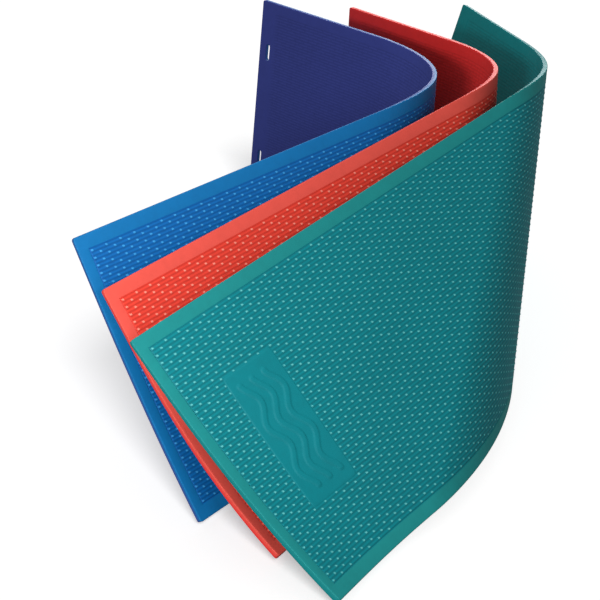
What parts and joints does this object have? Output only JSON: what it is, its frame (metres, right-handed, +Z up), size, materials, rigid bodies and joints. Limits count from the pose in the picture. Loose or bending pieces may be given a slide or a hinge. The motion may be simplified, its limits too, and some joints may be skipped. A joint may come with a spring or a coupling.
{
  "type": "nested exercise mat set",
  "caption": "Flexible foam exercise mats with a woven raised pattern and hanging slots, bent round and nested, each standing on a long edge.",
  "frame": {"origin": "middle of the footprint of the nested mats, on the floor", "axes": "+Z up; +X from the open side of the nest towards the bends; +Y from the front flaps to the back flaps"},
  "size_m": [1.0348, 1.717, 0.6458],
  "materials": {
    "outer_mat_foam": "matte closed-cell foam with a smooth moulded skin",
    "middle_mat_foam": "matte closed-cell foam with a smooth moulded skin",
    "inner_mat_foam": "matte closed-cell foam with a smooth moulded skin"
  },
  "bodies": {
    "inner_mat_back": {"inner_mat_back": "inner_mat_foam"},
    "inner_mat_bend_1": {"inner_mat_bend_1": "inner_mat_foam"},
    "inner_mat_bend_10": {"inner_mat_bend_10": "inner_mat_foam"},
    "inner_mat_bend_11": {"inner_mat_bend_11": "inner_mat_foam"},
    "inner_mat_bend_2": {"inner_mat_bend_2": "inner_mat_foam"},
    "inner_mat_bend_3": {"inner_mat_bend_3": "inner_mat_foam"},
    "inner_mat_bend_4": {"inner_mat_bend_4": "inner_mat_foam"},
    "inner_mat_bend_5": {"inner_mat_bend_5": "inner_mat_foam"},
    "inner_mat_bend_6": {"inner_mat_bend_6": "inner_mat_foam"},
    "inner_mat_bend_7": {"inner_mat_bend_7": "inner_mat_foam"},
    "inner_mat_bend_8": {"inner_mat_bend_8": "inner_mat_foam"},
    "inner_mat_bend_9": {"inner_mat_bend_9": "inner_mat_foam"},
    "inner_mat_corner_1": {"inner_mat_corner_1": "inner_mat_foam"},
    "inner_mat_corner_2": {"inner_mat_corner_2": "inner_mat_foam"},
    "inner_mat_front": {"inner_mat_front": "inner_mat_foam"},
    "middle_mat_back": {"middle_mat_back": "middle_mat_foam"},
    "middle_mat_bend_1": {"middle_mat_bend_1": "middle_mat_foam"},
    "middle_mat_bend_10": {"middle_mat_bend_10": "middle_mat_foam"},
    "middle_mat_bend_11": {"middle_mat_bend_11": "middle_mat_foam"},
    "middle_mat_bend_2": {"middle_mat_bend_2": "middle_mat_foam"},
    "middle_mat_bend_3": {"middle_mat_bend_3": "middle_mat_foam"},
    "middle_mat_bend_4": {"middle_mat_bend_4": "middle_mat_foam"},
    "middle_mat_bend_5": {"middle_mat_bend_5": "middle_mat_foam"},
    "middle_mat_bend_6": {"middle_mat_bend_6": "middle_mat_foam"},
    "middle_mat_bend_7": {"middle_mat_bend_7": "middle_mat_foam"},
    "middle_mat_bend_8": {"middle_mat_bend_8": "middle_mat_foam"},
    "middle_mat_bend_9": {"middle_mat_bend_9": "middle_mat_foam"},
    "middle_mat_corner_1": {"middle_mat_corner_1": "middle_mat_foam"},
    "middle_mat_corner_2": {"middle_mat_corner_2": "middle_mat_foam"},
    "middle_mat_front": {"middle_mat_front": "middle_mat_foam"},
    "outer_mat_back": {"outer_mat_back": "outer_mat_foam"},
    "outer_mat_bend_1": {"outer_mat_bend_1": "outer_mat_foam"},
    "outer_mat_bend_10": {"outer_mat_bend_10": "outer_mat_foam"},
    "outer_mat_bend_11": {"outer_mat_bend_11": "outer_mat_foam"},
    "outer_mat_bend_2": {"outer_mat_bend_2": "outer_mat_foam"},
    "outer_mat_bend_3": {"outer_mat_bend_3": "outer_mat_foam"},
    "outer_mat_bend_4": {"outer_mat_bend_4": "outer_mat_foam"},
    "outer_mat_bend_5": {"outer_mat_bend_5": "outer_mat_foam"},
    "outer_mat_bend_6": {"outer_mat_bend_6": "outer_mat_foam"},
    "outer_mat_bend_7": {"outer_mat_bend_7": "outer_mat_foam"},
    "outer_mat_bend_8": {"outer_mat_bend_8": "outer_mat_foam"},
    "outer_mat_bend_9": {"outer_mat_bend_9": "outer_mat_foam"},
    "outer_mat_corner_1": {"outer_mat_corner_1": "outer_mat_foam"},
    "outer_mat_corner_2": {"outer_mat_corner_2": "outer_mat_foam"},
    "outer_mat_front": {"outer_mat_front": "outer_mat_foam"}
  },
  "joints": [
    {"name": "outer_mat_fold_7", "type": "hinge", "parent": "outer_mat_bend_6", "child": "outer_mat_bend_7", "pos_m": [0.44596, 0.07661, 0.325], "axis": [-0.1467, -0.6664, -0.731], "range_deg": [-1.38, 8.97]},
    {"name": "outer_mat_fold_8", "type": "hinge", "parent": "outer_mat_bend_7", "child": "outer_mat_bend_8", "pos_m": [0.45858, 0.15661, 0.32222], "axis": [-0.1389, -0.5976, -0.7897], "range_deg": [-1.36, 8.75]},
    {"name": "outer_mat_fold_9", "type": "hinge", "parent": "outer_mat_bend_8", "child": "outer_mat_bend_9", "pos_m": [0.46217, 0.24279, 0.32022], "axis": [-0.1437, -0.4995, -0.8543], "range_deg": [-1.34, 8.53]},
    {"name": "outer_mat_fold_10", "type": "hinge", "parent": "outer_mat_bend_9", "child": "outer_mat_bend_10", "pos_m": [0.4551, 0.33376, 0.32004], "axis": [-0.1672, -0.3653, -0.9157], "range_deg": [-1.32, 8.31]},
    {"name": "outer_mat_fold_11", "type": "hinge", "parent": "outer_mat_bend_10", "child": "outer_mat_bend_11", "pos_m": [0.436, 0.42782, 0.32264], "axis": [-0.2145, -0.1932, -0.9574], "range_deg": [-1.3, 8.09]},
    {"name": "outer_mat_fold_12", "type": "hinge", "parent": "outer_mat_bend_11", "child": "outer_mat_back", "pos_m": [0.40397, 0.52297, 0.32874], "axis": [-0.2854, 0.0054, -0.9584], "range_deg": [-1.28, 7.87]},
    {"name": "nest_opening", "type": "hinge", "parent": "outer_mat_bend_6", "child": "outer_mat_bend_5", "pos_m": [0.42606, 0.00383, 0.32763], "axis": [0.1616, 0.7131, 0.6822], "range_deg": [-0.8, 8.59]},
    {"name": "outer_mat_fold_5", "type": "hinge", "parent": "outer_mat_bend_5", "child": "outer_mat_bend_4", "pos_m": [0.40075, -0.06095, 0.32932], "axis": [0.1798, 0.7436, 0.6441], "range_deg": [-1.42, 9.41]},
    {"name": "outer_mat_fold_4", "type": "hinge", "parent": "outer_mat_bend_4", "child": "outer_mat_bend_3", "pos_m": [0.37197, -0.11714, 0.32948], "axis": [0.1979, 0.7622, 0.6164], "range_deg": [-1.44, 9.63]},
    {"name": "outer_mat_fold_3", "type": "hinge", "parent": "outer_mat_bend_3", "child": "outer_mat_bend_2", "pos_m": [0.34181, -0.16431, 0.32779], "axis": [0.2133, 0.7722, 0.5984], "range_deg": [-1.46, 9.85]},
    {"name": "outer_mat_fold_2", "type": "hinge", "parent": "outer_mat_bend_2", "child": "outer_mat_bend_1", "pos_m": [0.31258, -0.20202, 0.32425], "axis": [0.2234, 0.7763, 0.5894], "range_deg": [-1.48, 10.07]},
    {"name": "outer_mat_fold_1", "type": "hinge", "parent": "outer_mat_bend_1", "child": "outer_mat_front", "pos_m": [0.28729, -0.22947, 0.31941], "axis": [0.2244, 0.7766, 0.5887], "range_deg": [-1.5, 10.29]},
    {"name": "outer_mat_corner_fold_1", "type": "hinge", "parent": "outer_mat_front", "child": "outer_mat_corner_1", "pos_m": [-0.09702, -0.66867, 0.13813], "axis": [0.8322, -0.0649, -0.5507], "range_deg": [-2.3, 18.89]},
    {"name": "outer_mat_corner_fold_2", "type": "hinge", "parent": "outer_mat_corner_1", "child": "outer_mat_corner_2", "pos_m": [-0.05002, -0.79247, 0.05427], "axis": [0.8322, -0.0649, -0.5507], "range_deg": [-2.3, 18.89]},
    {"name": "middle_mat_fold_7", "type": "hinge", "parent": "middle_mat_bend_6", "child": "middle_mat_bend_7", "pos_m": [0.36718, 0.20241, 0.32377], "axis": [-0.0495, -0.4132, -0.9093], "range_deg": [-1.31, 8.24]},
    {"name": "middle_mat_fold_8", "type": "hinge", "parent": "middle_mat_bend_7", "child": "middle_mat_bend_8", "pos_m": [0.36442, 0.28432, 0.32091], "axis": [-0.0563, -0.2941, -0.9541], "range_deg": [-1.3, 8.13]},
    {"name": "middle_mat_fold_9", "type": "hinge", "parent": "middle_mat_bend_8", "child": "middle_mat_bend_9", "pos_m": [0.3487, 0.36953, 0.31906], "axis": [-0.0864, -0.1485, -0.9851], "range_deg": [-1.29, 8.02]},
    {"name": "middle_mat_fold_10", "type": "hinge", "parent": "middle_mat_bend_9", "child": "middle_mat_bend_10", "pos_m": [0.31894, 0.4556, 0.3188], "axis": [-0.143, 0.0136, -0.9896], "range_deg": [-1.28, 7.91]},
    {"name": "middle_mat_fold_11", "type": "hinge", "parent": "middle_mat_bend_10", "child": "middle_mat_bend_11", "pos_m": [0.27484, 0.54002, 0.32033], "axis": [-0.2228, 0.1735, -0.9593], "range_deg": [-1.27, 7.79]},
    {"name": "middle_mat_fold_12", "type": "hinge", "parent": "middle_mat_bend_11", "child": "middle_mat_back", "pos_m": [0.21687, 0.62052, 0.32336], "axis": [-0.3159, 0.311, -0.8964], "range_deg": [-1.26, 7.68]},
    {"name": "middle_mat_fold_6", "type": "hinge", "parent": "middle_mat_bend_6", "child": "middle_mat_bend_5", "pos_m": [0.35861, 0.12593, 0.32686], "axis": [0.0595, 0.5036, 0.8619], "range_deg": [-1.32, 8.35]},
    {"name": "middle_mat_fold_5", "type": "hinge", "parent": "middle_mat_bend_5", "child": "middle_mat_bend_4", "pos_m": [0.34077, 0.05659, 0.32937], "axis": [0.0793, 0.5681, 0.8191], "range_deg": [-1.33, 8.46]},
    {"name": "middle_mat_fold_4", "type": "hinge", "parent": "middle_mat_bend_4", "child": "middle_mat_bend_3", "pos_m": [0.31598, -0.00427, 0.33057], "axis": [0.1029, 0.6111, 0.7849], "range_deg": [-1.34, 8.58]},
    {"name": "middle_mat_fold_3", "type": "hinge", "parent": "middle_mat_bend_3", "child": "middle_mat_bend_2", "pos_m": [0.28684, -0.05566, 0.32997], "axis": [0.1251, 0.6367, 0.7609], "range_deg": [-1.35, 8.69]},
    {"name": "middle_mat_fold_2", "type": "hinge", "parent": "middle_mat_bend_2", "child": "middle_mat_bend_1", "pos_m": [0.25628, -0.09676, 0.32738], "axis": [0.1409, 0.6489, 0.7477], "range_deg": [-1.36, 8.8]},
    {"name": "middle_mat_fold_1", "type": "hinge", "parent": "middle_mat_bend_1", "child": "middle_mat_front", "pos_m": [0.22809, -0.12655, 0.32316], "axis": [0.1438, 0.6504, 0.7459], "range_deg": [-1.37, 8.91]},
    {"name": "middle_mat_corner_fold_1", "type": "hinge", "parent": "middle_mat_front", "child": "middle_mat_corner_1", "pos_m": [-0.1496, -0.51971, 0.13757], "axis": [0.8292, 0.165, -0.534], "range_deg": [-2.16, 17.34]},
    {"name": "middle_mat_corner_fold_2", "type": "hinge", "parent": "middle_mat_corner_1", "child": "middle_mat_corner_2", "pos_m": [-0.14398, -0.65932, 0.04908], "axis": [0.8292, 0.165, -0.534], "range_deg": [-2.16, 17.34]},
    {"name": "inner_mat_fold_7", "type": "hinge", "parent": "inner_mat_bend_6", "child": "inner_mat_bend_7", "pos_m": [0.21375, 0.2191, 0.31518], "axis": [-0.0739, -0.3477, -0.9347], "range_deg": [-1.3, 8.13]},
    {"name": "inner_mat_fold_8", "type": "hinge", "parent": "inner_mat_bend_7", "child": "inner_mat_bend_8", "pos_m": [0.20814, 0.30645, 0.31174], "axis": [-0.0826, -0.2524, -0.9641], "range_deg": [-1.3, 8.1]},
    {"name": "inner_mat_fold_9", "type": "hinge", "parent": "inner_mat_bend_8", "child": "inner_mat_bend_9", "pos_m": [0.1882, 0.39425, 0.30995], "axis": [-0.1095, -0.1449, -0.9834], "range_deg": [-1.3, 8.08]},
    {"name": "inner_mat_fold_10", "type": "hinge", "parent": "inner_mat_bend_9", "child": "inner_mat_bend_10", "pos_m": [0.15362, 0.47982, 0.31033], "axis": [-0.156, -0.0316, -0.9873], "range_deg": [-1.29, 8.05]},
    {"name": "inner_mat_fold_11", "type": "hinge", "parent": "inner_mat_bend_10", "child": "inner_mat_bend_11", "pos_m": [0.10474, 0.5605, 0.31308], "axis": [-0.2207, 0.0785, -0.9722], "range_deg": [-1.29, 8.03]},
    {"name": "inner_mat_fold_12", "type": "hinge", "parent": "inner_mat_bend_11", "child": "inner_mat_back", "pos_m": [0.04252, 0.63384, 0.31796], "axis": [-0.299, 0.1759, -0.9379], "range_deg": [-1.29, 8]},
    {"name": "inner_mat_fold_6", "type": "hinge", "parent": "inner_mat_bend_6", "child": "inner_mat_bend_5", "pos_m": [0.20596, 0.13467, 0.31947], "axis": [0.0799, 0.4269, 0.9008], "range_deg": [-1.3, 8.16]},
    {"name": "inner_mat_fold_5", "type": "hinge", "parent": "inner_mat_bend_5", "child": "inner_mat_bend_4", "pos_m": [0.18619, 0.05537, 0.32371], "axis": [0.0962, 0.4889, 0.867], "range_deg": [-1.31, 8.18]},
    {"name": "inner_mat_fold_4", "type": "hinge", "parent": "inner_mat_bend_4", "child": "inner_mat_bend_3", "pos_m": [0.15631, -0.01696, 0.32696], "axis": [0.1183, 0.5344, 0.8369], "range_deg": [-1.31, 8.21]},
    {"name": "inner_mat_fold_3", "type": "hinge", "parent": "inner_mat_bend_3", "child": "inner_mat_bend_2", "pos_m": [0.11863, -0.08077, 0.32841], "axis": [0.1417, 0.5648, 0.8129], "range_deg": [-1.31, 8.23]},
    {"name": "inner_mat_fold_2", "type": "hinge", "parent": "inner_mat_bend_2", "child": "inner_mat_bend_1", "pos_m": [0.07598, -0.13469, 0.32744], "axis": [0.1615, 0.5821, 0.7969], "range_deg": [-1.31, 8.26]},
    {"name": "inner_mat_fold_1", "type": "hinge", "parent": "inner_mat_bend_1", "child": "inner_mat_front", "pos_m": [0.03246, -0.17701, 0.32383], "axis": [0.1707, 0.5874, 0.7911], "range_deg": [-1.32, 8.28]},
    {"name": "inner_mat_corner_fold_1", "type": "hinge", "parent": "inner_mat_front", "child": "inner_mat_corner_1", "pos_m": [-0.29192, -0.47228, 0.19219], "axis": [0.6745, 0.0083, -0.7382], "range_deg": [-1.34, 8.56]},
    {"name": "inner_mat_corner_fold_2", "type": "hinge", "parent": "inner_mat_corner_1", "child": "inner_mat_corner_2", "pos_m": [-0.28731, -0.57162, 0.07044], "axis": [0.6745, 0.0083, -0.7382], "range_deg": [-1.34, 8.56]},
    {"name": "middle_mat_slide", "type": "slide", "parent": "outer_mat_bend_6", "child": "middle_mat_bend_6", "axis": [-0.9938, 0.111, 0], "range_m": [0, 0.6]},
    {"name": "inner_mat_slide", "type": "slide", "parent": "middle_mat_bend_6", "child": "inner_mat_bend_6", "axis": [-0.9956, 0.094, 0], "range_m": [0, 0.6]}
  ],
  "couplings": [
    {"joint": "outer_mat_fold_7", "follows": "nest_opening", "ratio": 0.97432},
    {"joint": "outer_mat_fold_8", "follows": "nest_opening", "ratio": 0.94864},
    {"joint": "outer_mat_fold_9", "follows": "nest_opening", "ratio": 0.92297},
    {"joint": "outer_mat_fold_10", "follows": "nest_opening", "ratio": 0.89729},
    {"joint": "outer_mat_fold_11", "follows": "nest_opening", "ratio": 0.87161},
    {"joint": "outer_mat_fold_12", "follows": "nest_opening", "ratio": 0.84593},
    {"joint": "outer_mat_fold_5", "follows": "nest_opening", "ratio": 1.0257},
    {"joint": "outer_mat_fold_4", "follows": "nest_opening", "ratio": 1.0514},
    {"joint": "outer_mat_fold_3", "follows": "nest_opening", "ratio": 1.077},
    {"joint": "outer_mat_fold_2", "follows": "nest_opening", "ratio": 1.1027},
    {"joint": "outer_mat_fold_1", "follows": "nest_opening", "ratio": 1.1284},
    {"joint": "outer_mat_corner_fold_1", "follows": "nest_opening", "ratio": 2.1295},
    {"joint": "outer_mat_corner_fold_2", "follows": "nest_opening", "ratio": 2.1295},
    {"joint": "middle_mat_fold_7", "follows": "nest_opening", "ratio": 0.88947},
    {"joint": "middle_mat_fold_8", "follows": "nest_opening", "ratio": 0.87648},
    {"joint": "middle_mat_fold_9", "follows": "nest_opening", "ratio": 0.8635},
    {"joint": "middle_mat_fold_10", "follows": "nest_opening", "ratio": 0.85051},
    {"joint": "middle_mat_fold_11", "follows": "nest_opening", "ratio": 0.83753},
    {"joint": "middle_mat_fold_12", "follows": "nest_opening", "ratio": 0.82454},
    {"joint": "middle_mat_fold_6", "follows": "nest_opening", "ratio": 0.90245},
    {"joint": "middle_mat_fold_5", "follows": "nest_opening", "ratio": 0.91544},
    {"joint": "middle_mat_fold_4", "follows": "nest_opening", "ratio": 0.92842},
    {"joint": "middle_mat_fold_3", "follows": "nest_opening", "ratio": 0.94141},
    {"joint": "middle_mat_fold_2", "follows": "nest_opening", "ratio": 0.95439},
    {"joint": "middle_mat_fold_1", "follows": "nest_opening", "ratio": 0.96738},
    {"joint": "middle_mat_corner_fold_1", "follows": "nest_opening", "ratio": 1.9485},
    {"joint": "middle_mat_corner_fold_2", "follows": "nest_opening", "ratio": 1.9485},
    {"joint": "inner_mat_fold_7", "follows": "nest_opening", "ratio": 0.87667},
    {"joint": "inner_mat_fold_8", "follows": "nest_opening", "ratio": 0.87369},
    {"joint": "inner_mat_fold_9", "follows": "nest_opening", "ratio": 0.8707},
    {"joint": "inner_mat_fold_10", "follows": "nest_opening", "ratio": 0.86771},
    {"joint": "inner_mat_fold_11", "follows": "nest_opening", "ratio": 0.86472},
    {"joint": "inner_mat_fold_12", "follows": "nest_opening", "ratio": 0.86174},
    {"joint": "inner_mat_fold_6", "follows": "nest_opening", "ratio": 0.87966},
    {"joint": "inner_mat_fold_5", "follows": "nest_opening", "ratio": 0.88265},
    {"joint": "inner_mat_fold_4", "follows": "nest_opening", "ratio": 0.88563},
    {"joint": "inner_mat_fold_3", "follows": "nest_opening", "ratio": 0.88862},
    {"joint": "inner_mat_fold_2", "follows": "nest_opening", "ratio": 0.89161},
    {"joint": "inner_mat_fold_1", "follows": "nest_opening", "ratio": 0.89459},
    {"joint": "inner_mat_corner_fold_1", "follows": "nest_opening", "ratio": 0.92626},
    {"joint": "inner_mat_corner_fold_2", "follows": "nest_opening", "ratio": 0.92626}
  ]
}
